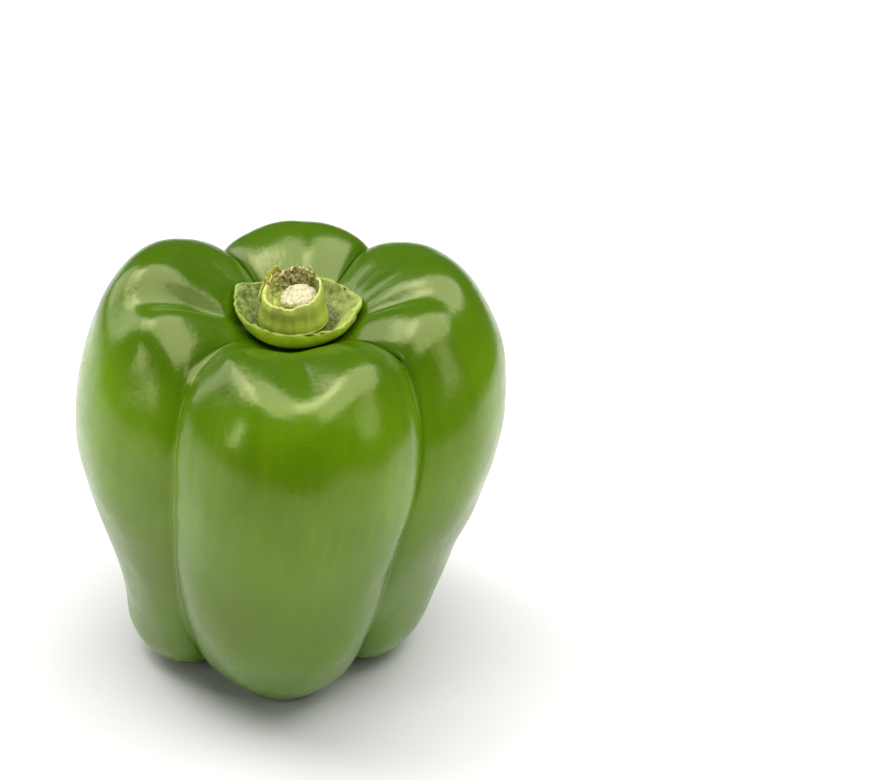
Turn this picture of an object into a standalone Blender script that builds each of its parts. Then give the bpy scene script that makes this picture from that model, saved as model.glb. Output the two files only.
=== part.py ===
"""A green bell pepper: the whole four-lobed fruit, its calyx and its cut stem.

Metres, +Z up. The pepper stands on its own toes at z = 0, with the middle of
its box over the origin. Sizes below are in millimetres and angles in degrees,
turning from +X towards +Y.
"""
import math

import bmesh
import bpy
import numpy as np

MM = 0.001

# The fruit's skin from the seat under the calyx (way 0), over the shoulder, to
# the blossom end (way 1): way, then reach and height along the crest of a lobe,
# then reach and height in the groove between two lobes
FRUIT_WAY = [
    (0.00, 0.0, 74.0, 0.0, 74.0),
    (0.06, 7.8, 74.0, 7.8, 74.0),
    (0.11, 11.0, 75.6, 10.8, 75.0),
    (0.16, 15.5, 79.0, 14.5, 75.8),
    (0.24, 25.0, 82.3, 22.0, 76.5),
    (0.33, 34.5, 80.0, 28.5, 75.0),
    (0.42, 41.0, 70.0, 33.5, 67.0),
    (0.52, 43.0, 55.0, 35.5, 54.0),
    (0.64, 40.3, 36.0, 33.5, 37.0),
    (0.75, 35.2, 17.0, 28.5, 20.0),
    (0.83, 29.0, 4.5, 21.0, 10.0),
    (0.89, 21.0, -1.6, 14.0, 8.5),
    (0.95, 10.0, 5.0, 7.0, 9.5),
    (1.00, 0.0, 10.0, 0.0, 10.0),
]

# The four grooves wander round the fruit on their way down
GROOVE_WAY = [0.0, 0.12, 0.24, 0.42, 0.64, 0.85, 1.0]
GROOVES = [
    [-35, -35, -36, -41, -49, -45, -45],
    [58, 58, 61, 59, 52, 48, 48],
    [124, 124, 123, 124, 130, 136, 136],
    [212, 214, 226, 233, 232, 226, 226],
]

# What makes each lobe its own, in the order right, back, left and front: how
# far its belly reaches, how high its shoulder rises, how full its lower flank
# and its toe are, how round it is from groove to groove (less is squarer), and
# to which side its crest leans (1 is neither)
LOBES = [
    {"belly": 0.0, "rise": 2.2, "flank": -3.2, "toe": -0.6, "round": 0.72, "skew": 1.0},
    {"belly": -3.0, "rise": 0.3, "flank": -1.0, "toe": -1.0, "round": 0.55, "skew": 1.0},
    {"belly": 0.0, "rise": 5.4, "flank": -2.4, "toe": 2.8, "round": 0.72, "skew": 0.87},
    {"belly": 0.0, "rise": -0.8, "flank": 0.0, "toe": -3.2, "round": 0.85, "skew": 1.15},
]

# Where along the way each of those is strongest, and how far it spreads
BELLY_AT = (0.48, 0.22)
RISE_AT = (0.27, 0.10)
FLANK_AT = (0.72, 0.10)
TOE_AT = (0.86, 0.10)

# The furrow over each lobe's shoulder: how deep, where it runs across the lobe
# and how wide, then where it lies along the way and how long
FURROWS = [
    (2.6, 0.31, 0.085, 0.22, 0.09),
    (0.6, 0.45, 0.085, 0.22, 0.09),
    (3.8, 0.67, 0.085, 0.22, 0.09),
    (3.3, 0.49, 0.15, 0.26, 0.10),
]

# How much squarer every lobe is at its shoulder and at its toe
SHOULDER_FULLNESS = 0.15
TOE_FULLNESS = 0.20

# The core leans: way, then how far it stands towards +X and +Y
LEAN = [
    (0.00, 3.0, 0.0),
    (0.30, 2.0, 0.0),
    (0.55, 0.5, 0.0),
    (0.80, -2.0, -3.0),
    (1.00, -3.0, -4.0),
]

# The calyx is a thin green dish on the fruit's seat, round the stem: way from
# the middle of its floor, over its rim and back underneath, then reach and
# height, then how much of a sepal's point is felt there
SEAT = 74.0
GAP = 0.3
CALYX_FLOOR = 75.4
CALYX_CENTRE = (3.0, 0.0)
CALYX_WAY = [
    (0.00, 0.0, CALYX_FLOOR, 0.0),
    (0.20, 7.4, CALYX_FLOOR, 0.0),
    (0.30, 8.6, 75.9, 0.1),
    (0.40, 9.7, 77.0, 0.5),
    (0.50, 10.9, 78.8, 1.0),
    (0.55, 11.3, 78.8, 1.0),
    (0.65, 10.8, 77.0, 0.7),
    (0.75, 9.5, 75.4, 0.2),
    (0.85, 7.4, SEAT + GAP, 0.0),
    (1.00, 0.0, SEAT + GAP, 0.0),
]

# The sepals' short points, and how the rim swells and draws in between them:
# bearing, how much further and higher than the rim, and half-width
SEPALS = [
    (6, 1.5, 0.8, 16),
    (62, 0.6, 0.2, 28),
    (118, 0.2, 0.1, 15),
    (150, 2.4, 1.1, 14),
    (176, 0.8, 0.2, 16),
    (232, -0.8, 0.0, 24),
    (275, -0.6, 0.0, 20),
    (325, 0.8, 0.0, 18),
]

# The stem is a short stub, broken off across: way from the middle of the pale
# pith, over the green rind's torn edge and down to its foot, then reach, height
# and how much of the tear is felt there
STEM_CENTRE = (2.2, 0.5)
STEM_WAY = [
    (0.00, 0.0, 81.6, 0.0),
    (0.14, 2.4, 81.4, 0.3),
    (0.22, 3.5, 80.6, 0.4),
    (0.28, 4.0, 79.6, 0.3),
    (0.36, 4.5, 79.6, 0.3),
    (0.43, 5.0, 80.6, 0.8),
    (0.48, 5.3, 81.2, 1.0),
    (0.52, 5.7, 81.2, 1.0),
    (0.57, 6.0, 80.6, 0.8),
    (0.70, 6.3, 78.8, 0.1),
    (0.84, 6.8, 76.6, 0.0),
    (0.90, 6.6, CALYX_FLOOR + GAP, 0.0),
    (1.00, 0.0, CALYX_FLOOR + GAP, 0.0),
]

# The pith stands aside from the stem's middle, up to its edge; from there the
# rind's inside runs back to the middle of the rim
PITH_OFFSET = (1.4, 0.1)
PITH_EDGE = 0.22
RIM_INSIDE = 0.48

# Bearing round the break and how far its edge stands up there, then its teeth:
# how many, how tall and where they start
TEAR = [
    (-90, 0.3),
    (-45, 0.9),
    (0, 2.2),
    (45, 3.0),
    (90, 3.0),
    (130, 2.3),
    (160, 1.0),
    (190, 0.3),
    (230, 0.2),
    (270, 0.3),
]
TEAR_TEETH = [(5, 0.10, 40), (9, 0.14, 10), (14, 0.12, 75)]
STEM_RIBS = 7
RIB_HEIGHT = 0.12

# Sides round and rings down each piece: the sides of the fruit divide by four,
# so that each groove runs along one line of its mesh
FRUIT_MESH = (84, 42)
CALYX_MESH = (56, 20)
STEM_MESH = (44, 24)


def curve_through(xs, ys, x):
    """Smooth cubic through the points (xs, ys), read at x."""
    xs = np.asarray(xs, float)
    ys = np.asarray(ys, float)
    slope = np.gradient(ys, xs)
    i = np.clip(np.searchsorted(xs, x, side="right") - 1, 0, len(xs) - 2)
    step = xs[i + 1] - xs[i]
    t = (x - xs[i]) / step
    start = (1 + 2 * t) * (1 - t) ** 2 * ys[i] + t * (1 - t) ** 2 * step * slope[i]
    end = t * t * (3 - 2 * t) * ys[i + 1] + t * t * (t - 1) * step * slope[i + 1]
    return start + end


def swell(x, centre, width):
    """1 at the centre, fading smoothly to 0 past the width."""
    return np.exp(-(((x - centre) / width) ** 2))


def bearing_swell(bearing, centre, width):
    """The same round the compass, in degrees."""
    return swell((bearing - centre + 180) % 360 - 180, 0, width)


def turned(reach, bearing, height, centre):
    """Points in millimetres from reach, bearing and height round a centre."""
    angle = np.radians(bearing)
    x = centre[0] + reach * np.cos(angle)
    y = centre[1] + reach * np.sin(angle)
    return np.stack([x, y, height], axis=-1)


def fruit_skin(turn, way):
    """The fruit: four swollen lobes between four grooves, on flat toes."""
    places, crest_reach, crest_height, groove_reach, groove_height = np.transpose(FRUIT_WAY)
    across = 4 * turn
    lobe = np.floor(across).astype(int) % 4
    across = across - np.floor(across)

    grooves = [curve_through(GROOVE_WAY, groove, way) for groove in GROOVES]
    grooves = np.array(grooves + [grooves[0] + 360])
    start = np.take_along_axis(grooves, lobe[None], 0)[0]
    end = np.take_along_axis(grooves, lobe[None] + 1, 0)[0]
    bearing = start + (end - start) * across

    own = {key: np.array([each[key] for each in LOBES])[lobe] for key in LOBES[0]}
    shoulder = swell(way, *RISE_AT)
    toe = swell(way, *TOE_AT)
    reach = curve_through(places, crest_reach, way)
    reach += own["belly"] * swell(way, *BELLY_AT)
    reach += own["flank"] * swell(way, *FLANK_AT) + own["toe"] * toe
    height = curve_through(places, crest_height, way) + own["rise"] * shoulder

    fullness = own["round"] - SHOULDER_FULLNESS * shoulder - TOE_FULLNESS * toe
    crown = np.sin(np.pi * across ** own["skew"]) ** fullness
    deep, side, wide, along, long = np.transpose(FURROWS)[:, lobe]
    furrow = deep * swell(across, side, wide) * swell(way, along, long)
    inner = curve_through(places, groove_reach, way)
    low = curve_through(places, groove_height, way)
    reach = inner + (reach - inner) * crown - 0.4 * furrow
    height = np.maximum(low + (height - low) * crown - furrow, 0.0)

    lean_way, lean_x, lean_y = np.transpose(LEAN)
    centre = (curve_through(lean_way, lean_x, way), curve_through(lean_way, lean_y, way))
    return turned(reach, bearing, height, centre)


def calyx_dish(turn, way):
    """The calyx: a shallow dish whose rim runs out into five short points."""
    places, reach, height, point = np.transpose(CALYX_WAY)
    bearing = 360 * turn
    longer = sum(out * bearing_swell(bearing, at, width) for at, out, _, width in SEPALS)
    higher = sum(up * bearing_swell(bearing, at, width) for at, _, up, width in SEPALS)
    felt = np.clip(curve_through(places, point, way), 0, 1)
    reach = curve_through(places, reach, way) + longer * felt
    height = curve_through(places, height, way) + higher * felt
    return turned(reach, bearing, height, CALYX_CENTRE)


def stem_stub(turn, way):
    """The stem: a ribbed stub with a torn rind round a sunken, pale pith."""
    places, reach, height, torn = np.transpose(STEM_WAY)
    bearing = 360 * turn
    tear = curve_through(*np.transpose(TEAR), (bearing + 90) % 360 - 90)
    teeth = sum(tall * np.sin(np.radians(count * bearing + start)) for count, tall, start in TEAR_TEETH)
    felt = np.clip(curve_through(places, torn, way), 0, 1)
    height = curve_through(places, height, way) + tear * felt + teeth * felt**4
    outside = np.clip((way - 0.5) / 0.1, 0, 1) * np.clip((0.9 - way) / 0.1, 0, 1)
    rib = RIB_HEIGHT * np.sin(np.radians(STEM_RIBS * bearing)) * outside
    reach = curve_through(places, reach, way) + rib
    aside = np.clip((RIM_INSIDE - way) / (RIM_INSIDE - PITH_EDGE), 0, 1)
    centre = tuple(STEM_CENTRE[i] + PITH_OFFSET[i] * aside for i in range(2))
    return turned(reach, bearing, height, centre)


def moulded(name, form, mesh_size, material, collection):
    """A ball whose every vertex is moved to the place that the form gives."""
    sides, rings = mesh_size
    bm = bmesh.new()
    bmesh.ops.create_uvsphere(bm, u_segments=sides, v_segments=rings, radius=1.0)
    ball = np.array([vertex.co for vertex in bm.verts])
    turn = (np.arctan2(ball[:, 1], ball[:, 0]) / math.tau) % 1.0
    way = np.arccos(np.clip(ball[:, 2], -1, 1)) / math.pi
    for vertex, place in zip(bm.verts, form(turn, way)):
        vertex.co = place * MM
    mesh = bpy.data.meshes.new(name)
    bm.to_mesh(mesh)
    bm.free()
    mesh.shade_smooth()
    mesh.materials.append(material)
    piece = bpy.data.objects.new(name, mesh)
    collection.objects.link(piece)
    return piece


def skin_material():
    """Waxed green skin, glossy."""
    return surface("pepper_skin", (0.10, 0.26, 0.012), 0.22)


def calyx_material():
    """The calyx's paler, leafy green."""
    return surface("pepper_calyx", (0.32, 0.45, 0.07), 0.50)


def stem_material():
    """The stem's yellow-green rind and pith."""
    return surface("pepper_stem", (0.38, 0.48, 0.09), 0.55)


def surface(name, colour, roughness):
    """A plain material with a linear base colour, not metallic."""
    material = bpy.data.materials.new(name)
    material.use_nodes = True
    shader = material.node_tree.nodes["Principled BSDF"]
    shader.inputs["Base Color"].default_value = (*colour, 1.0)
    shader.inputs["Roughness"].default_value = roughness
    shader.inputs["Metallic"].default_value = 0.0
    return material


def middle(piece):
    """The middle of a piece's box, along X and Y."""
    points = np.array([vertex.co for vertex in piece.data.vertices])
    return (points.min(axis=0) + points.max(axis=0))[:2] / 2


def build():
    """The fruit, with the calyx on its seat and the stem in the calyx."""
    for old in list(bpy.data.objects):
        bpy.data.objects.remove(old)
    pepper = bpy.data.collections.new("bell_pepper")
    bpy.context.scene.collection.children.link(pepper)

    fruit = moulded("fruit", fruit_skin, FRUIT_MESH, skin_material(), pepper)
    calyx = moulded("calyx", calyx_dish, CALYX_MESH, calyx_material(), pepper)
    stem = moulded("stem", stem_stub, STEM_MESH, stem_material(), pepper)
    calyx.parent = fruit
    stem.parent = fruit
    across, along = middle(fruit)
    fruit.location = (-across, -along, 0.0)


build()
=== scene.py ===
import math

import bpy
import numpy as np
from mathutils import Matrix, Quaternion, Vector


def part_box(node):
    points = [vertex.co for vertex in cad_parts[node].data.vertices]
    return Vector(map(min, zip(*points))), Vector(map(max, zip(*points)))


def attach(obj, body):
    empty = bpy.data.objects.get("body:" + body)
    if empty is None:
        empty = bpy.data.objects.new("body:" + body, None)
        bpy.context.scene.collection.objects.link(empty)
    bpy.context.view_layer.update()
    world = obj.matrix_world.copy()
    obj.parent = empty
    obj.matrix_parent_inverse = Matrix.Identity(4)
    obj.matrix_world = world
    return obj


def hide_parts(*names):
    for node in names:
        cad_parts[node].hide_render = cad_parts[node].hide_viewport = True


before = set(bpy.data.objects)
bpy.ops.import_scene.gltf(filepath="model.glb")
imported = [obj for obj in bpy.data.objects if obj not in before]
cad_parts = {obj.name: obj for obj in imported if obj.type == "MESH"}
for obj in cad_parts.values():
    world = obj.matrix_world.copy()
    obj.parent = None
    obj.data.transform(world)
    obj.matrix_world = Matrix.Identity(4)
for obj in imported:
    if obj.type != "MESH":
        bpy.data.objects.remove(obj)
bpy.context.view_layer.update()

# The fruit: a hollow berry with a thick, crisp wall under a tight, waxy skin.
# It grew from one flower: each of its four chambers swelled out into a lobe,
# while the walls between the chambers held the grooves in.

MM = 0.001
# Way down the skin, then reach and height in mm along a lobe's crest, then the
# same in the groove between two lobes
FRUIT_WAY = [
    (0.00, 0.0, 74.0, 0.0, 74.0),
    (0.06, 7.8, 74.0, 7.8, 74.0),
    (0.11, 11.0, 75.6, 10.8, 75.0),
    (0.16, 15.5, 79.0, 14.5, 75.8),
    (0.24, 25.0, 82.3, 22.0, 76.5),
    (0.33, 34.5, 80.0, 28.5, 75.0),
    (0.42, 41.0, 70.0, 33.5, 67.0),
    (0.52, 43.0, 55.0, 35.5, 54.0),
    (0.64, 40.3, 36.0, 33.5, 37.0),
    (0.75, 35.2, 17.0, 28.5, 20.0),
    (0.83, 29.0, 4.5, 21.0, 10.0),
    (0.89, 21.0, -1.6, 14.0, 8.5),
    (0.95, 10.0, 5.0, 7.0, 9.5),
    (1.00, 0.0, 10.0, 0.0, 10.0),
]
# The grooves wander as they run down: the ways, then each groove's bearing there
GROOVE_WAY = [0.0, 0.12, 0.24, 0.42, 0.64, 0.85, 1.0]
GROOVES = [
    [-35, -35, -36, -41, -49, -45, -45],
    [58, 58, 61, 59, 52, 48, 48],
    [124, 124, 123, 124, 130, 136, 136],
    [212, 214, 226, 233, 232, 226, 226],
]
# Right, back, left and front lobe: how much further or higher than the crest
# its parts are in mm, how round it is, and to which side its crest leans
LOBES = [
    {"belly": 0.0, "rise": 2.2, "flank": -3.2, "toe": -0.6, "round": 0.72, "skew": 1.0},
    {"belly": -3.0, "rise": 0.3, "flank": -1.0, "toe": -1.0, "round": 0.55, "skew": 1.0},
    {"belly": 0.0, "rise": 5.4, "flank": -2.4, "toe": 2.8, "round": 0.72, "skew": 0.87},
    {"belly": 0.0, "rise": -0.8, "flank": 0.0, "toe": -3.2, "round": 0.85, "skew": 1.15},
]
# Where along the way each of those is strongest, and how far it spreads
BELLY_AT = (0.48, 0.22)
RISE_AT = (0.27, 0.10)
FLANK_AT = (0.72, 0.10)
TOE_AT = (0.86, 0.10)
# Each lobe's furrow: how deep in mm, where it runs across the lobe and how wide,
# then where it lies along the way and how long. It also draws the skin inward,
# by a share of its depth.
FURROWS = [
    (2.6, 0.31, 0.085, 0.22, 0.09),
    (0.6, 0.45, 0.085, 0.22, 0.09),
    (3.8, 0.67, 0.085, 0.22, 0.09),
    (3.3, 0.49, 0.15, 0.26, 0.10),
]
FURROW_PULL = 0.4
# How much squarer every lobe is at its shoulder and at its toe
SHOULDER_FULLNESS = 0.15
TOE_FULLNESS = 0.20
# The core leans: way, then how far it stands aside in mm, along X and Y
LEAN = [
    (0.00, 3.0, 0.0),
    (0.30, 2.0, 0.0),
    (0.55, 0.5, 0.0),
    (0.80, -2.0, -3.0),
    (1.00, -3.0, -4.0),
]
# Fine folds run out from under the calyx: how wide round and how long down the
# drum is that they are spaced on, how far apart and how high they are in mm, and
# where along the way
FOLD_DRUM = (20.0, 14.0)
FOLD_SPACING = 3.2
FOLD_HEIGHT = 0.24
FOLD_AT = (0.17, 0.09)
# The wall is never quite even: how wide and how high its swells are in mm, from
# the broadest to the finest
WALL_SWELLS = [(24.0, 1.0), (9.0, 0.32), (4.5, 0.06)]
# Humps and hollows of the front lobe's shoulder, grown by chance: turn, way, how
# wide along both, and height in mm
CHANCE_SWELLS = [
    (0.800, 0.225, 0.025, 0.050, 1.6),
    (0.800, 0.330, 0.030, 0.050, -0.9),
    (0.945, 0.270, 0.030, 0.045, 0.6),
    (0.858, 0.215, 0.007, 0.040, -0.35),
    (0.885, 0.225, 0.006, 0.040, -0.30),
]
# Long, faint ribs run down the sides, spaced on a drum of their own
RIB_DRUM = (40.0, 24.0)
RIB_SPACING = 6.5
RIB_RISE = 0.16
RIBS_BEGIN = (0.25, 0.45)
# The skin stays smooth where the calyx sits on it and, from a height in mm down,
# where it rests on its toes
SEAT_EDGE = (0.07, 0.15)
TOE_HEIGHT = 5.0
# Sides round and rings down the mesh, and how often its noise repeats
FRUIT_MESH = (420, 200)
NOISE_CELLS = 64


def curve_through(xs, ys, x):
    """Smooth cubic through the points (xs, ys), read at x."""
    xs = np.asarray(xs, float)
    ys = np.asarray(ys, float)
    slope = np.gradient(ys, xs)
    i = np.clip(np.searchsorted(xs, x, side="right") - 1, 0, len(xs) - 2)
    step = xs[i + 1] - xs[i]
    t = (x - xs[i]) / step
    start = (1 + 2 * t) * (1 - t) ** 2 * ys[i] + t * (1 - t) ** 2 * step * slope[i]
    end = t * t * (3 - 2 * t) * ys[i + 1] + t * t * (t - 1) * step * slope[i + 1]
    return start + end


def swell(x, centre, width):
    """1 at the centre, fading smoothly to 0 past the width."""
    return np.exp(-(((x - centre) / width) ** 2))


def ramp(x, start, end):
    """0 up to the start, rising evenly to 1 at the end."""
    return np.clip((x - start) / (end - start), 0, 1)


def turned(reach, bearing, height, centre):
    """Points in millimetres from reach, bearing and height round a centre."""
    angle = np.radians(bearing)
    x = centre[0] + reach * np.cos(angle)
    y = centre[1] + reach * np.sin(angle)
    return np.stack(np.broadcast_arrays(x, y, height), axis=-1)


def grown_noise(points, size, seed=0):
    """Smooth noise from -1 to 1 with features of a size in mm, at points in mm."""
    lattice = np.random.default_rng(seed).uniform(-1, 1, (NOISE_CELLS,) * 3)
    cell = np.floor(points / size).astype(int)
    t = points / size - cell
    t = t * t * (3 - 2 * t)
    total = np.zeros(len(points))
    for corner in np.ndindex(2, 2, 2):
        i, j, k = ((cell + corner) % NOISE_CELLS).T
        total += np.prod(np.where(corner, t, 1 - t), axis=1) * lattice[i, j, k]
    return total


def fruit_skin(turn, way):
    """The smooth form of the fruit, as its solid has it."""
    places, crest_reach, crest_height, groove_reach, groove_height = np.transpose(FRUIT_WAY)
    across = 4 * turn
    lobe = np.floor(across).astype(int) % 4
    across = across - np.floor(across)

    grooves = [curve_through(GROOVE_WAY, groove, way) for groove in GROOVES]
    grooves = np.array(grooves + [grooves[0] + 360])
    start = np.take_along_axis(grooves, lobe[None], 0)[0]
    end = np.take_along_axis(grooves, lobe[None] + 1, 0)[0]
    bearing = start + (end - start) * across

    own = {key: np.array([each[key] for each in LOBES])[lobe] for key in LOBES[0]}
    shoulder = swell(way, *RISE_AT)
    toe = swell(way, *TOE_AT)
    reach = curve_through(places, crest_reach, way)
    reach += own["belly"] * swell(way, *BELLY_AT)
    reach += own["flank"] * swell(way, *FLANK_AT) + own["toe"] * toe
    height = curve_through(places, crest_height, way) + own["rise"] * shoulder

    fullness = own["round"] - SHOULDER_FULLNESS * shoulder - TOE_FULLNESS * toe
    crown = np.sin(np.pi * across ** own["skew"]) ** fullness
    deep, side, wide, along, long = np.transpose(FURROWS)[:, lobe]
    furrow = deep * swell(across, side, wide) * swell(way, along, long)
    inner = curve_through(places, groove_reach, way)
    low = curve_through(places, groove_height, way)
    reach = inner + (reach - inner) * crown - FURROW_PULL * furrow
    height = np.maximum(low + (height - low) * crown - furrow, 0.0)

    lean_way, lean_x, lean_y = np.transpose(LEAN)
    centre = (curve_through(lean_way, lean_x, way), curve_through(lean_way, lean_y, way))
    return turned(reach, bearing, height, centre)


def ball_faces(sides, rings):
    """The faces of a ball: its top vertex, then its rows downward, then its bottom vertex."""
    at = np.arange(sides)
    after = (at + 1) % sides
    rows = 1 + sides * np.arange(rings - 2)[:, None]
    last = 1 + sides * (rings - 2)
    bottom = last + sides
    quads = np.stack([rows + at, rows + at + sides, rows + after + sides, rows + after], axis=-1)
    top_fan = np.stack([0 * at, 1 + at, 1 + after], axis=-1)
    bottom_fan = np.stack([last + at, bottom + 0 * at, last + after], axis=-1)
    return top_fan.tolist() + quads.reshape(-1, 4).tolist() + bottom_fan.tolist()


def ball_grid(sides, rings):
    """How far round and down a ball each of its vertices is, from 0 to 1."""
    turn, way = np.meshgrid(np.arange(sides) / sides, np.arange(1, rings) / rings)
    turn = np.concatenate([[0.0], turn.ravel(), [0.0]])
    way = np.concatenate([[0.0], way.ravel(), [1.0]])
    return turn, way


def moulded(name, form, mesh_size, relief):
    """A closed skin over the form's places, moved in or out by the relief."""
    sides, rings = mesh_size
    turn, way = ball_grid(sides, rings)
    points = form(turn, way)
    mesh = bpy.data.meshes.new(name)
    mesh.from_pydata((points * MM).tolist(), [], ball_faces(sides, rings))
    outward = np.empty(points.size, np.float32)
    mesh.vertices.foreach_get("normal", outward)
    points += outward.reshape(-1, 3) * relief(points, turn, way)[:, None]
    mesh.vertices.foreach_set("co", (points * MM).astype(np.float32).ravel())
    mesh.update()
    mesh.shade_smooth()
    piece = bpy.data.objects.new(name, mesh)
    bpy.context.scene.collection.objects.link(piece)
    return piece, turn, way


def paint(piece, name, values):
    """Keeps a number or a place for each vertex, for the material to read."""
    values = np.asarray(values, np.float32)
    kind, key = ("FLOAT", "value") if values.ndim == 1 else ("FLOAT_VECTOR", "vector")
    layer = piece.data.attributes.new(name, kind, "POINT")
    layer.data.foreach_set(key, values.ravel())


def box_middle(low, high):
    """The middle of a box, along X and Y."""
    return (np.array(low)[:2] + np.array(high)[:2]) / 2


def fruit_shift():
    """From the middle of the fruit's own form to the middle of its solid, in mm."""
    turn, way = np.meshgrid(
        np.arange(0, 1, 1 / FRUIT_MESH[0]), np.linspace(0, 1, FRUIT_MESH[1]))
    skin = fruit_skin(turn.ravel(), way.ravel())
    return box_middle(*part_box("fruit")) / MM - box_middle(skin.min(axis=0), skin.max(axis=0))


FRUIT_SHIFT = fruit_shift()
SEAT_MIDDLE = np.array(LEAN[0][1:]) + FRUIT_SHIFT


def standing_fruit(turn, way):
    """The fruit's form, where its solid stands."""
    skin = fruit_skin(turn, way)
    skin[:, :2] += FRUIT_SHIFT
    return skin


def bearings(points, middle):
    """The bearing of each point round a middle, in degrees."""
    return np.degrees(np.arctan2(points[:, 1] - middle[1], points[:, 0] - middle[0]))


def on_drum(drum, bearing, way):
    """Places on an upright drum, for patterns that run round and down a piece."""
    reach, length = drum
    return turned(reach, bearing, length * way, (0, 0))


def wall_relief(points, turn, way):
    """The folds, swells and ribs of the wall, in mm out from the smooth form."""
    bearing = bearings(points, SEAT_MIDDLE)
    folds = grown_noise(on_drum(FOLD_DRUM, bearing, way), FOLD_SPACING)
    relief = folds * FOLD_HEIGHT * swell(way, *FOLD_AT)
    relief += sum(grown_noise(points, size, int(size)) * height for size, height in WALL_SWELLS)
    for at_turn, at_way, turn_width, way_width, height in CHANCE_SWELLS:
        relief += height * swell(turn, at_turn, turn_width) * swell(way, at_way, way_width)
    ribs = grown_noise(on_drum(RIB_DRUM, 360 * turn, way), RIB_SPACING, seed=9)
    relief += ribs * RIB_RISE * ramp(way, *RIBS_BEGIN)
    return relief * ramp(way, *SEAT_EDGE) * ramp(points[:, 2], 0.0, TOE_HEIGHT)


fruit, fruit_turn, fruit_way = moulded("fruit_skin", standing_fruit, FRUIT_MESH, wall_relief)
paint(fruit, "way", fruit_way)
# The skin's grain is even on a drum shorter than the fruit, so on the fruit it is
# drawn out downward
GRAIN_DRUM = (40.0, 20.0)
paint(fruit, "grain", on_drum(GRAIN_DRUM, 360 * fruit_turn, fruit_way) * MM)


def linear(code):
    """An sRGB hex colour as the linear colour that shaders take."""
    parts = [int(code[i:i + 2], 16) / 255 for i in (1, 3, 5)]
    parts = [p / 12.92 if p <= 0.04045 else ((p + 0.055) / 1.055) ** 2.4 for p in parts]
    return (*parts, 1.0)


def add_node(tree, kind, values=None, **settings):
    """Adds a node with its settings. A value is a number, a colour or a node's output."""
    node = tree.nodes.new(kind)
    for name, value in settings.items():
        setattr(node, name, value)
    for name, value in (values or {}).items():
        if isinstance(value, bpy.types.NodeSocket):
            tree.links.new(value, node.inputs[name])
        else:
            node.inputs[name].default_value = value
    return node


def per_mm(size):
    """A texture's scale for features of this size in millimetres."""
    return 1.0 / (size * MM)


def painted(tree, name, output="Fac"):
    """What was painted on the vertices under a name."""
    return add_node(tree, "ShaderNodeAttribute", attribute_name=name).outputs[output]


def eased(tree, value, start, end, low=0.0, high=1.0):
    """A value's stretch from start to end, eased into low to high."""
    return add_node(tree, "ShaderNodeMapRange", {
        "Value": value, "From Min": start, "From Max": end, "To Min": low, "To Max": high},
        interpolation_type="SMOOTHSTEP").outputs["Result"]


def mixed(tree, share, first, second):
    """Two colours mixed by a share of the second."""
    return add_node(tree, "ShaderNodeMixRGB", {
        "Fac": share, "Color1": first, "Color2": second}).outputs["Color"]


def new_material(name):
    """An empty material and the tree for its nodes."""
    material = bpy.data.materials.new(name)
    material.use_nodes = True
    material.node_tree.nodes.clear()
    return material, material.node_tree


# Waxed fruit skin: a thin cuticle of natural wax over green cells, never
# polished, so it mirrors the light softly and its green shows through. It has
# faint streaks down the lobes and pale pores, and is darker towards the toes.
# Over the shoulders it is darkened with painted shade, so that under the strong
# lamp above they look no brighter than the front. The pores and the peel are
# drawn coarser than the real ones, so that they show.
waxed_skin, tree = new_material("waxed_pepper_skin")
place = add_node(tree, "ShaderNodeTexCoord").outputs["Object"]
grain = painted(tree, "grain", "Vector")
blotches = add_node(tree, "ShaderNodeTexNoise", {
    "Vector": place, "Scale": per_mm(24), "Detail": 3.0}).outputs["Fac"]
streaks = add_node(tree, "ShaderNodeTexNoise", {
    "Vector": grain, "Scale": per_mm(2.2), "Detail": 3.0}).outputs["Fac"]
mottle = add_node(tree, "ShaderNodeTexNoise", {
    "Vector": place, "Scale": per_mm(3.0), "Detail": 4.0, "Roughness": 0.6}).outputs["Fac"]
pores = add_node(tree, "ShaderNodeTexVoronoi", {
    "Vector": place, "Scale": per_mm(2.6)}).outputs["Distance"]
green = mixed(tree, eased(tree, blotches, 0.3, 0.7), linear("#5e8500"), linear("#709c02"))
green = mixed(tree, eased(tree, streaks, 0.40, 0.85, 0.0, 0.20), green, linear("#93b41c"))
green = mixed(tree, eased(tree, mottle, 0.3, 0.75, 0.0, 0.22), green, linear("#517400"))
way = painted(tree, "way")
# Painted shade: the shoulders are darkened so that under the strong lamp above they look no brighter
# than the front
shoulder = eased(tree, way, 0.44, 0.28, 0.0, 0.88)
green = mixed(tree, shoulder, green, linear("#365500"))
lower_half = eased(tree, way, 0.50, 0.68, 0.0, 0.80)
green = mixed(tree, lower_half, green, linear("#4f7400"))
green = mixed(tree, eased(tree, pores, 0.10, 0.05, 0.0, 0.45), green, linear("#7c9428"))
peel = add_node(tree, "ShaderNodeTexNoise", {
    "Vector": place, "Scale": per_mm(1.1), "Detail": 2.0}).outputs["Fac"]
peel_relief = add_node(tree, "ShaderNodeBump", {
    "Strength": 0.22, "Distance": 0.2 * MM, "Height": peel})
drawn = eased(tree, way, 0.38, 0.22, 0.06, 0.15)
grain_relief = add_node(tree, "ShaderNodeBump", {
    "Strength": drawn, "Distance": 0.4 * MM, "Height": streaks,
    "Normal": peel_relief.outputs["Normal"]})
wax = eased(tree, mottle, 0.25, 0.75, 0.19, 0.28)
shader = add_node(tree, "ShaderNodeBsdfPrincipled", {
    "Base Color": green, "Roughness": wax, "IOR": 1.6, "Specular Tint": linear("#fff8c0"),
    "Normal": grain_relief.outputs["Normal"]})
add_node(tree, "ShaderNodeOutputMaterial", {"Surface": shader.outputs["BSDF"]})

fruit.data.materials.append(waxed_skin)
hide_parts("fruit")
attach(fruit, "root")

# The calyx: green sepals grown together into a shallow, leafy dish round the
# foot of the stem. Its short points and thin, pale edge have dried a little and
# stand off the fruit's shoulder.

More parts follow.
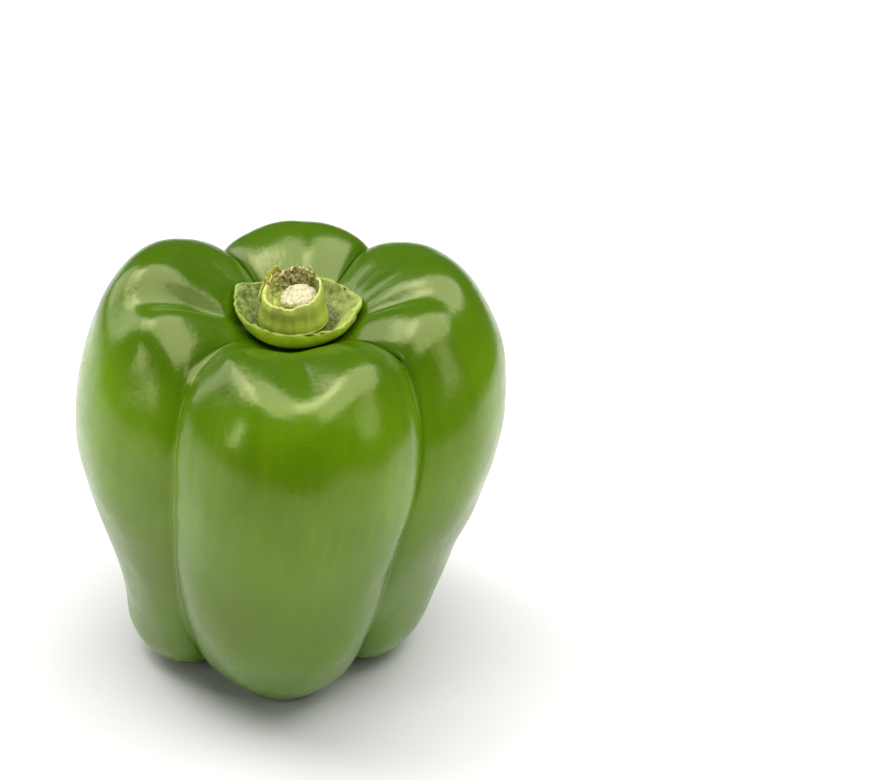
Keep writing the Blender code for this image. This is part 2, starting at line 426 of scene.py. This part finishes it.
# Heights of its floor and its underside and the place of its middle, in mm
CALYX_FLOOR = 75.4
SEAT = 74.3
CALYX_CENTRE = (3.0, 0.0)
# Way from the middle of the floor, over the rim and back underneath, then reach
# and height in mm, then how much of a sepal's point is felt there
CALYX_WAY = [
    (0.00, 0.0, CALYX_FLOOR, 0.0),
    (0.20, 7.4, CALYX_FLOOR, 0.0),
    (0.30, 8.6, 75.9, 0.1),
    (0.40, 9.7, 77.0, 0.5),
    (0.50, 11.0, 78.9, 1.0),
    (0.535, 11.3, 78.9, 1.0),
    (0.65, 10.8, 77.0, 0.7),
    (0.75, 9.5, 75.4, 0.2),
    (0.85, 7.4, SEAT, 0.0),
    (1.00, 0.0, SEAT, 0.0),
]
# Bearing, how much further and higher than the rim, and half-width in degrees
SEPALS = [
    (6, 1.5, 0.8, 16),
    (62, 0.6, 0.2, 28),
    (118, 0.2, 0.1, 15),
    (150, 2.4, 1.1, 14),
    (176, 0.8, 0.2, 16),
    (232, -0.8, 0.0, 24),
    (275, -0.6, 0.0, 20),
    (325, 0.8, 0.0, 18),
]
# Bearings of the midribs, and how wide in degrees and high in mm they are
MIDRIBS = (80, 148, 222, 300)
MIDRIB_WIDTH = 3.5
MIDRIB_HEIGHT = 0.30
# How many fine veins there are, and how high
VEINS = 41
VEIN_HEIGHT = 0.05
# How wide and how high in mm the crumples and the waves of the rim are
LEAF_BUMPS = (1.2, 0.22)
RIM_WAVES = [(2.6, 0.50), (1.1, 0.22)]
# Where along the way the rim is and how wide, and where the inside lies
RIM_AT = (0.52, 0.10)
FLOOR_EDGE = (0.10, 0.20)
INSIDE_EDGE = (0.53, 0.47)
# The right sepal is folded along a line from its tip inwards, and the half in
# front of the fold stands higher: bearing at the tip, how fast it turns back,
# how soft the fold is, how far the half reaches round and inward, and the step
# in mm
FOLD_TIP = (7.0, 12.8)
FOLD_TURN = 6.0
FOLD_SOFT = 1.5
FOLD_HALF = (-20.0, 36.0)
FOLD_INNER = (6.5, 8.5)
FOLD_STEP = 0.35
# The inside is paler on the right: bearing and half-width in degrees
PALE_SIDE = (0.0, 60.0)
CALYX_MESH = (400, 120)
CALYX_MIDDLE = np.array(CALYX_CENTRE) + FRUIT_SHIFT


def bearing_swell(bearing, centre, width):
    """1 at a bearing in degrees, fading to 0 on both sides of it."""
    return swell((bearing - centre + 180) % 360 - 180, 0, width)


def calyx_dish(turn, way):
    """A shallow dish whose rim runs out into short points."""
    places, reach, height, point = np.transpose(CALYX_WAY)
    bearing = 360 * turn
    longer = sum(out * bearing_swell(bearing, at, width) for at, out, _, width in SEPALS)
    higher = sum(up * bearing_swell(bearing, at, width) for at, _, up, width in SEPALS)
    felt = np.clip(curve_through(places, point, way), 0, 1)
    reach = curve_through(places, reach, way) + longer * felt
    height = curve_through(places, height, way) + higher * felt
    return turned(reach, bearing, height, CALYX_MIDDLE)


def folded_half(points):
    """1 on the half of the right sepal that stands in front of its fold."""
    bearing = bearings(points, CALYX_MIDDLE)
    reach = np.hypot(*(points[:, :2] - CALYX_MIDDLE).T)
    fold = FOLD_TIP[0] + (FOLD_TIP[1] - reach) * FOLD_TURN
    in_front = ramp(bearing, fold + FOLD_SOFT, fold - FOLD_SOFT)
    return in_front * swell(bearing, *FOLD_HALF) * ramp(reach, *FOLD_INNER)


def leaf_relief(points, turn, way):
    """Midribs, veins, the folded half and crumples, on the inside and the rim."""
    bearing = 360 * turn
    inside = ramp(way, *INSIDE_EDGE) * ramp(way, *FLOOR_EDGE)
    relief = sum(bearing_swell(bearing, at, MIDRIB_WIDTH) for at in MIDRIBS) * MIDRIB_HEIGHT
    relief += np.sin(np.radians(VEINS * bearing)) * VEIN_HEIGHT
    relief += grown_noise(points, LEAF_BUMPS[0]) * LEAF_BUMPS[1]
    relief += folded_half(points) * FOLD_STEP
    waves = sum(grown_noise(points * (1, 1, 0), size, 5) * height for size, height in RIM_WAVES)
    waves *= swell(way, *RIM_AT) * np.where(way < RIM_AT[0], 1.0, -1.0)
    return relief * inside * ramp(way, 0.53, 0.49) + waves


calyx, calyx_turn, calyx_way = moulded("calyx_leaf", calyx_dish, CALYX_MESH, leaf_relief)
calyx_points = calyx_dish(calyx_turn, calyx_way)
paint(calyx, "edge", swell(calyx_way, 0.515, 0.018))
# The underside, which takes a painted glow standing in for light shining through the leaf and bounced
# under it
paint(calyx, "under", ramp(calyx_way, 0.53, 0.57))
# The floor round the stem, where painted shade darkens the dish
paint(calyx, "floor", ramp(calyx_way, 0.38, 0.20))
calyx_inside = calyx_way < 0.51
# The folded half, which is painted lighter as the half that faces the light
paint(calyx, "folded", folded_half(calyx_points) * calyx_inside)
pale_side = bearing_swell(360 * calyx_turn, *PALE_SIDE) * calyx_inside
paint(calyx, "right", pale_side * ramp(calyx_way, 0.22, 0.34))

# Sepal leaf: soft green tissue, dull and blotched inside, and paler on its right
# side and where its edge has dried. Its floor round the stem is darkened with
# painted shade, its folded half is painted lighter as the half that faces the
# light, and its underside is painted a bright yellow-green that stands in for
# light shining through the leaf and bounced up under it.
sepal_leaf, tree = new_material("sepal_leaf")
place = add_node(tree, "ShaderNodeTexCoord").outputs["Object"]
mottle = add_node(tree, "ShaderNodeTexNoise", {
    "Vector": place, "Scale": per_mm(1.5), "Detail": 4.0, "Roughness": 0.65}).outputs["Fac"]
fine = add_node(tree, "ShaderNodeTexNoise", {
    "Vector": place, "Scale": per_mm(0.5), "Detail": 3.0}).outputs["Fac"]
leaf = mixed(tree, eased(tree, mottle, 0.35, 0.68), linear("#4b5922"), linear("#7f8e3e"))
paler_right = eased(tree, painted(tree, "right"), 0.0, 1.0, 0.0, 0.6)
leaf = mixed(tree, paler_right, leaf, linear("#97a552"))
# Painted light: the folded half is painted paler, as the half that faces the light
lit_fold = eased(tree, painted(tree, "folded"), 0.2, 0.8, 0.0, 0.75)
leaf = mixed(tree, lit_fold, leaf, linear("#aebc5c"))
# Painted shade: the floor round the foot of the stem is darkened
shaded_floor = eased(tree, painted(tree, "floor"), 0.0, 1.0, 0.0, 0.85)
leaf = mixed(tree, shaded_floor, leaf, linear("#3d4616"))
leaf = mixed(tree, eased(tree, fine, 0.40, 0.75, 0.0, 0.35), leaf, linear("#b5bd74"))
# Painted light: the underside is painted bright yellow-green, standing in for light shining through
# the leaf and bounced under it
leaf = mixed(tree, painted(tree, "under"), leaf, linear("#d6ee3a"))
dried_edge = eased(tree, painted(tree, "edge"), 0.2, 0.9, 0.0, 0.8)
leaf = mixed(tree, dried_edge, leaf, linear("#96a548"))
leaf_relief_node = add_node(tree, "ShaderNodeBump", {
    "Strength": 0.6, "Distance": 0.3 * MM, "Height": mottle})
shader = add_node(tree, "ShaderNodeBsdfPrincipled", {
    "Base Color": leaf, "Roughness": 0.52, "IOR": 1.40,
    "Normal": leaf_relief_node.outputs["Normal"]})
add_node(tree, "ShaderNodeOutputMaterial", {"Surface": shader.outputs["BSDF"]})

calyx.data.materials.append(sepal_leaf)
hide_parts("calyx")
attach(calyx, "root")

# The stem: the short stub of stalk that stays on when the fruit is broken off
# the plant. A juicy green rind surrounds a spongy white pith, and the break
# leaves the rind's edge ragged and higher at the back.

# The place of its middle and its gap over the calyx, in mm
STEM_CENTRE = (2.2, 0.5)
STEM_GAP = 0.3
# Way from the middle of the pith, over the rind's edge and down to the foot,
# then reach and height in mm, then how much of the tear is felt there
STEM_WAY = [
    (0.00, 0.0, 81.6, 0.0),
    (0.14, 2.4, 81.4, 0.3),
    (0.22, 3.5, 80.6, 0.4),
    (0.28, 4.0, 79.6, 0.3),
    (0.36, 4.5, 79.6, 0.3),
    (0.43, 5.0, 80.6, 0.8),
    (0.48, 5.3, 81.2, 1.0),
    (0.52, 5.7, 81.2, 1.0),
    (0.57, 6.0, 80.6, 0.8),
    (0.70, 6.3, 78.8, 0.1),
    (0.84, 6.8, 76.6, 0.0),
    (0.90, 6.6, CALYX_FLOOR + STEM_GAP, 0.0),
    (1.00, 0.0, CALYX_FLOOR + STEM_GAP, 0.0),
]
# The pith stands aside from the stem's middle in mm, up to its edge; from there
# the rind's inside runs back to the middle of the rim
PITH_OFFSET = (1.4, 0.1)
PITH_EDGE = 0.22
RIM_INSIDE = 0.48
# Bearing round the break and how far in mm its edge stands up there
TEAR = [
    (-90, 0.3),
    (-45, 0.9),
    (0, 2.2),
    (45, 3.0),
    (90, 3.0),
    (130, 2.3),
    (160, 1.0),
    (190, 0.3),
    (230, 0.2),
    (270, 0.3),
]
# How many teeth round the break, how tall in mm and where they start
TEAR_TEETH = [(5, 0.10, 40), (9, 0.12, 10), (23, 0.07, 75)]
# How many ribs the rind has, and how high in mm
STEM_RIBS = 7
RIB_HEIGHT = 0.12
# How wide and how high in mm: the lumps of the pith, the fibres of the rind,
# which run along it, and its ragged edge
PITH_LUMPS = [(1.6, 0.45), (0.7, 0.22)]
RIND_FIBRES = (0.9, 0.08)
ALONG_STEM = (1.0, 1.0, 0.12)
RAGGED_EDGE = (0.8, 0.45)
# The rind tore ragged at the back, and a strip of it peeled at the left: bearing
# and half-width in degrees
TORN_BACK = (88, 48)
PEELED = (150, 22)
STEM_MESH = (360, 150)
STEM_MIDDLE = np.array(STEM_CENTRE) + FRUIT_SHIFT


def tear_rise(bearing):
    """How far the broken edge stands up at a bearing, in mm."""
    return curve_through(*np.transpose(TEAR), (bearing + 90) % 360 - 90)


def rind_outside(way):
    """1 on the outside of the rind, fading to 0 at its edge and its foot."""
    return ramp(way, 0.5, 0.6) * ramp(way, 0.9, 0.8)


def stem_stub(turn, way):
    """A ribbed stub with a torn rind round a sunken pith."""
    places, reach, height, torn = np.transpose(STEM_WAY)
    bearing = 360 * turn
    teeth = sum(
        tall * np.sin(np.radians(count * bearing + start)) for count, tall, start in TEAR_TEETH)
    felt = np.clip(curve_through(places, torn, way), 0, 1)
    height = curve_through(places, height, way) + tear_rise(bearing) * felt + teeth * felt**4
    rib = RIB_HEIGHT * np.sin(np.radians(STEM_RIBS * bearing)) * rind_outside(way)
    reach = curve_through(places, reach, way) + rib
    aside = ramp(way, RIM_INSIDE, PITH_EDGE)
    centre = tuple(STEM_MIDDLE[i] + PITH_OFFSET[i] * aside for i in range(2))
    return turned(reach, bearing, height, centre)


def stalk_relief(points, turn, way):
    """Lumps of pith, the ragged back of the break and the rind's long fibres."""
    bearing = 360 * turn
    lumps = sum(grown_noise(points, size, 1) * height for size, height in PITH_LUMPS)
    relief = lumps * ramp(way, 0.30, 0.20)
    ragged = grown_noise(points, RAGGED_EDGE[0], 3) * RAGGED_EDGE[1]
    ragged *= bearing_swell(bearing, *TORN_BACK)
    relief += ragged * ramp(way, 0.26, 0.36) * ramp(way, 0.55, 0.49)
    strings = grown_noise(points * ALONG_STEM, RIND_FIBRES[0], 2) * RIND_FIBRES[1]
    return relief + strings * rind_outside(way)


stem, stem_turn, stem_way = moulded("stem_stalk", stem_stub, STEM_MESH, stalk_relief)
stem_bearing = 360 * stem_turn
paint(stem, "pith", ramp(stem_way, 0.25, 0.19))
paint(stem, "edge", swell(stem_way, 0.49, 0.04))
paint(stem, "inside", ramp(stem_way, 0.49, 0.44))
torn_edge = ramp(stem_way, 0.24, 0.34) * ramp(stem_way, 0.56, 0.50)
paint(stem, "torn", bearing_swell(stem_bearing, *TORN_BACK) * torn_edge)
upper_rind = ramp(stem_way, 0.80, 0.62) * (stem_way > 0.5)
paint(stem, "peeled", bearing_swell(stem_bearing, *PEELED) * upper_rind)
paint(stem, "top", ramp(stem_way, 0.68, 0.52))

# Broken stalk: green, faintly ribbed rind with a satin skin, cream-white pith
# that scatters the light, straw-coloured fibre where it tore, and a pale wet
# edge to the rind.
broken_stalk, tree = new_material("broken_stalk")
place = add_node(tree, "ShaderNodeTexCoord").outputs["Object"]
along = add_node(tree, "ShaderNodeMapping", {
    "Vector": place, "Scale": ALONG_STEM}).outputs["Vector"]
strings = add_node(tree, "ShaderNodeTexNoise", {
    "Vector": along, "Scale": per_mm(0.8), "Detail": 3.0}).outputs["Fac"]
lumps = add_node(tree, "ShaderNodeTexNoise", {
    "Vector": place, "Scale": per_mm(0.55), "Detail": 4.0, "Roughness": 0.65}).outputs["Fac"]
rind = mixed(tree, eased(tree, strings, 0.3, 0.7), linear("#97aa37"), linear("#a8b848"))
flesh = mixed(tree, eased(tree, lumps, 0.35, 0.65), linear("#6c7724"), linear("#b4b866"))
white = mixed(tree, eased(tree, lumps, 0.35, 0.60), linear("#aaa46e"), linear("#cbc5a8"))
straw = mixed(tree, eased(tree, lumps, 0.40, 0.60), linear("#6b5e2c"), linear("#c9c088"))
pale_top = eased(tree, painted(tree, "top"), 0.0, 1.0, 0.0, 0.6)
rind = mixed(tree, pale_top, rind, linear("#c3cc6e"))
stalk = mixed(tree, painted(tree, "inside"), rind, flesh)
peeled = eased(tree, painted(tree, "peeled"), 0.1, 0.9, 0.0, 0.8)
stalk = mixed(tree, peeled, stalk, linear("#b9b93c"))
wet_edge = eased(tree, painted(tree, "edge"), 0.1, 0.9, 0.0, 0.8)
stalk = mixed(tree, wet_edge, stalk, linear("#bcc06a"))
torn = eased(tree, painted(tree, "torn"), 0.2, 0.9, 0.0, 0.9)
stalk = mixed(tree, torn, stalk, straw)
stalk = mixed(tree, painted(tree, "pith"), stalk, white)
relief = add_node(tree, "ShaderNodeBump", {
    "Strength": 0.5, "Distance": 0.3 * MM, "Height": lumps})
shader = add_node(tree, "ShaderNodeBsdfPrincipled", {
    "Base Color": stalk, "Roughness": 0.5, "IOR": 1.40,
    "Normal": relief.outputs["Normal"]})
add_node(tree, "ShaderNodeOutputMaterial", {"Surface": shader.outputs["BSDF"]})

stem.data.materials.append(broken_stalk)
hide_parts("stem")
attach(stem, "root")

# The peeled strip: a sliver of the rind that tore loose at the left when the
# stalk was broken, and climbs round the stem to stand up past the break.

# From its foot to its tip: bearing in degrees, height and reach in mm; then half
# its width, round the stem in degrees and up it in mm, and half its thickness
STRIP_FOOT = (178.0, 79.6, 6.4)
STRIP_TIP = (116.0, 84.7, 6.3)
STRIP_HALF = (7.5, 0.95)
STRIP_THICK = 0.30
# How wide and how deep in mm its edge is frayed
STRIP_FRAY = (0.9, 0.16)
STRIP_MESH = (40, 40)


def peeled_strip(turn, way):
    """A flat sliver that climbs round the stem, widest in its middle."""
    full = np.sin(np.pi * np.clip(way, 0, 1)) ** 0.4
    aside = full * np.sin(math.tau * turn)
    bearing, height, reach = (
        low + (high - low) * (1 - way) for low, high in zip(STRIP_FOOT, STRIP_TIP))
    reach = reach + STRIP_THICK * full * np.cos(math.tau * turn)
    return turned(reach, bearing + STRIP_HALF[0] * aside, height + STRIP_HALF[1] * aside, STEM_MIDDLE)


def strip_relief(points, turn, way):
    """Frayed by its tearing."""
    fray = grown_noise(points, STRIP_FRAY[0], 7) * STRIP_FRAY[1]
    return fray * ramp(way, 0.0, 0.1) * ramp(way, 1.0, 0.9)


strip = moulded("stem_peeled_strip", peeled_strip, STRIP_MESH, strip_relief)[0]

# Torn rind: yellow-green tissue that has dried, drawn into long streaks.
torn_rind, tree = new_material("torn_rind")
place = add_node(tree, "ShaderNodeTexCoord").outputs["Object"]
along = add_node(tree, "ShaderNodeMapping", {
    "Vector": place, "Scale": (1.0, 1.0, 0.2)}).outputs["Vector"]
streaks = add_node(tree, "ShaderNodeTexNoise", {
    "Vector": along, "Scale": per_mm(0.6), "Detail": 3.0}).outputs["Fac"]
yellow = mixed(tree, eased(tree, streaks, 0.35, 0.65), linear("#9a9a30"), linear("#d0cc58"))
shader = add_node(tree, "ShaderNodeBsdfPrincipled", {
    "Base Color": yellow, "Roughness": 0.55, "IOR": 1.40})
add_node(tree, "ShaderNodeOutputMaterial", {"Surface": shader.outputs["BSDF"]})

strip.data.materials.append(torn_rind)
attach(strip, "root")

# The fibres: short, dry strands of the stalk that broke last, and stand out of
# the ragged back of the break at all angles.

STRAND_COUNT = 34
# Least and most: bearing in degrees, then length, radius and reach in mm
STRAND_BEARINGS = (18.0, 158.0)
STRAND_LENGTHS = (0.4, 1.4)
STRAND_RADII = (0.14, 0.34)
STRAND_REACHES = (4.9, 5.7)
# How high the strands' roots are on a level break, how much they lean and curl,
# and how thick their tips are, as a share of their roots
STRAND_ROOT = 80.9
STRAND_LEAN = 0.35
STRAND_TIP = 0.25
STRAND_MESH = (6, 9)


def torn_fibres():
    """Tapered, curled strands along the back of the break, all in one mesh."""
    chance = np.random.default_rng(4)
    sides, rings = STRAND_MESH
    turn, way = ball_grid(sides, rings)
    points, faces = [], []
    for _ in range(STRAND_COUNT):
        bearing = chance.uniform(*STRAND_BEARINGS)
        long = chance.uniform(*STRAND_LENGTHS)
        thick = chance.uniform(*STRAND_RADII)
        reach = chance.uniform(*STRAND_REACHES)
        lean, curl = chance.normal(0, STRAND_LEAN, (2, 2))
        root = turned(reach, bearing, STRAND_ROOT + tear_rise(bearing), STEM_MIDDLE)
        up = long * (1 - way)
        side = [root[i] + lean[i] * up + curl[i] * up**2 for i in range(2)]
        radius = thick * np.sin(np.pi * way) ** 0.3 * (STRAND_TIP + (1 - STRAND_TIP) * way)
        faces += [[i + len(points) * len(way) for i in face] for face in ball_faces(sides, rings)]
        points.append(turned(radius, 360 * turn, root[2] + up, side))
    mesh = bpy.data.meshes.new("stem_fibres")
    mesh.from_pydata((np.concatenate(points) * MM).tolist(), [], faces)
    mesh.shade_smooth()
    return bpy.data.objects.new("stem_fibres", mesh)


fibres = torn_fibres()
bpy.context.scene.collection.objects.link(fibres)

# Dry fibre: straw that lost its green, dull and a little browned.
dry_fibre, tree = new_material("dry_fibre")
place = add_node(tree, "ShaderNodeTexCoord").outputs["Object"]
tone = add_node(tree, "ShaderNodeTexNoise", {
    "Vector": place, "Scale": per_mm(1.2), "Detail": 2.0}).outputs["Fac"]
straw = mixed(tree, eased(tree, tone, 0.35, 0.65), linear("#7d6d36"), linear("#cfc690"))
shader = add_node(tree, "ShaderNodeBsdfPrincipled", {
    "Base Color": straw, "Roughness": 0.7, "IOR": 1.40})
add_node(tree, "ShaderNodeOutputMaterial", {"Surface": shader.outputs["BSDF"]})

fibres.data.materials.append(dry_fibre)
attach(fibres, "root")

# The table and the light: a white laminate top under a large soft lamp, with
# smaller soft lamps at the left and low at both front corners.

# The table top's edges and the lamps' places and sizes are in metres
TABLE_LEFT, TABLE_RIGHT = -2.0, 0.20
TABLE_FRONT, TABLE_BACK = -0.26, 2.0
LAMP_WHITE = "#fffefa"
ROOM_LIGHT = 0.06
table_mesh = bpy.data.meshes.new("table_top")
table_mesh.from_pydata([
    (TABLE_LEFT, TABLE_FRONT, 0.0), (TABLE_RIGHT, TABLE_FRONT, 0.0),
    (TABLE_RIGHT, TABLE_BACK, 0.0), (TABLE_LEFT, TABLE_BACK, 0.0)], [], [(0, 1, 2, 3)])
table = bpy.data.objects.new("table_top", table_mesh)
bpy.context.scene.collection.objects.link(table)
white_laminate = bpy.data.materials.new("white_laminate")
white_laminate.use_nodes = True
laminate = white_laminate.node_tree.nodes["Principled BSDF"]
laminate.inputs["Base Color"].default_value = linear("#e6e6e9")
laminate.inputs["Roughness"].default_value = 0.5
table_mesh.materials.append(white_laminate)


def soft_lamp(name, place, aim, roll, size, power):
    """A softbox: an oblong light in watts, turned to face a point, then rolled by degrees."""
    lamp = bpy.data.lights.new(name, "AREA")
    lamp.shape = "RECTANGLE"
    lamp.size, lamp.size_y = size
    lamp.energy = power
    lamp.color = linear(LAMP_WHITE)[:3]
    holder = bpy.data.objects.new(name, lamp)
    holder.location = place
    facing = (Vector(aim) - Vector(place)).to_track_quat("-Z", "Y")
    holder.rotation_euler = (facing @ Quaternion((0, 0, 1), math.radians(roll))).to_euler()
    bpy.context.scene.collection.objects.link(holder)


PEPPER_MIDDLE = (0.0, 0.0, 0.05)
soft_lamp("lamp_above", (0.37, 0.16, 0.9), (0.37, 0.16, 0.0), 31, (1.3, 1.1), 17)
soft_lamp("lamp_left_high", (-0.44, 0.20, 0.94), PEPPER_MIDDLE, 0, (0.50, 0.55), 4.4)
soft_lamp("lamp_left", (-0.76, 0.50, 0.55), PEPPER_MIDDLE, 0, (0.60, 0.80), 3.6)
soft_lamp("lamp_front_left", (-0.82, -0.47, 0.45), PEPPER_MIDDLE, 0, (0.26, 0.50), 1.5)
soft_lamp("lamp_front_right", (0.83, -0.37, 0.47), PEPPER_MIDDLE, 0, (0.40, 0.70), 1.7)

world = bpy.data.worlds.new("dim_room")
world.use_nodes = True
room = world.node_tree.nodes["Background"]
room.inputs["Color"].default_value = linear("#ffffff")
room.inputs["Strength"].default_value = ROOM_LIGHT
bpy.context.scene.world = world
bpy.context.scene.view_settings.view_transform = "Standard"

# The camera: a long lens above the front of the table, looking down on the
# pepper, which stands a little left of the frame's middle.

# The frame's size, the lens and its sensor in mm, how far it looks down in
# degrees, how far off and how high in mm the pepper's middle is, and the pixel
# that it falls on
PHOTO_SIZE = (894, 780)
LENS = 88.8
SENSOR = 36.0
LOOK_DOWN = 33.0
AIM_DISTANCE = 450.0
AIM_HEIGHT = 40.0
AIM_PIXEL = (289.0, 471.0)
down = math.radians(LOOK_DOWN)
pixels_per_unit = LENS / SENSOR * PHOTO_SIZE[0]
beside = (AIM_PIXEL[0] - PHOTO_SIZE[0] / 2) / pixels_per_unit * AIM_DISTANCE
above = -(AIM_PIXEL[1] - PHOTO_SIZE[1] / 2) / pixels_per_unit * AIM_DISTANCE
up = Vector((0.0, math.sin(down), math.cos(down)))
back = Vector((0.0, -math.cos(down), math.sin(down)))
aim = Vector((FRUIT_SHIFT[0], FRUIT_SHIFT[1], AIM_HEIGHT))
eye = aim - Vector((beside, 0, 0)) - above * up + AIM_DISTANCE * back
lens = bpy.data.cameras.new("camera")
lens.lens = LENS
lens.sensor_width = SENSOR
camera = bpy.data.objects.new("camera", lens)
camera.location = eye * MM
camera.rotation_euler = (math.pi / 2 - down, 0.0, 0.0)
bpy.context.scene.collection.objects.link(camera)
bpy.context.scene.camera = camera
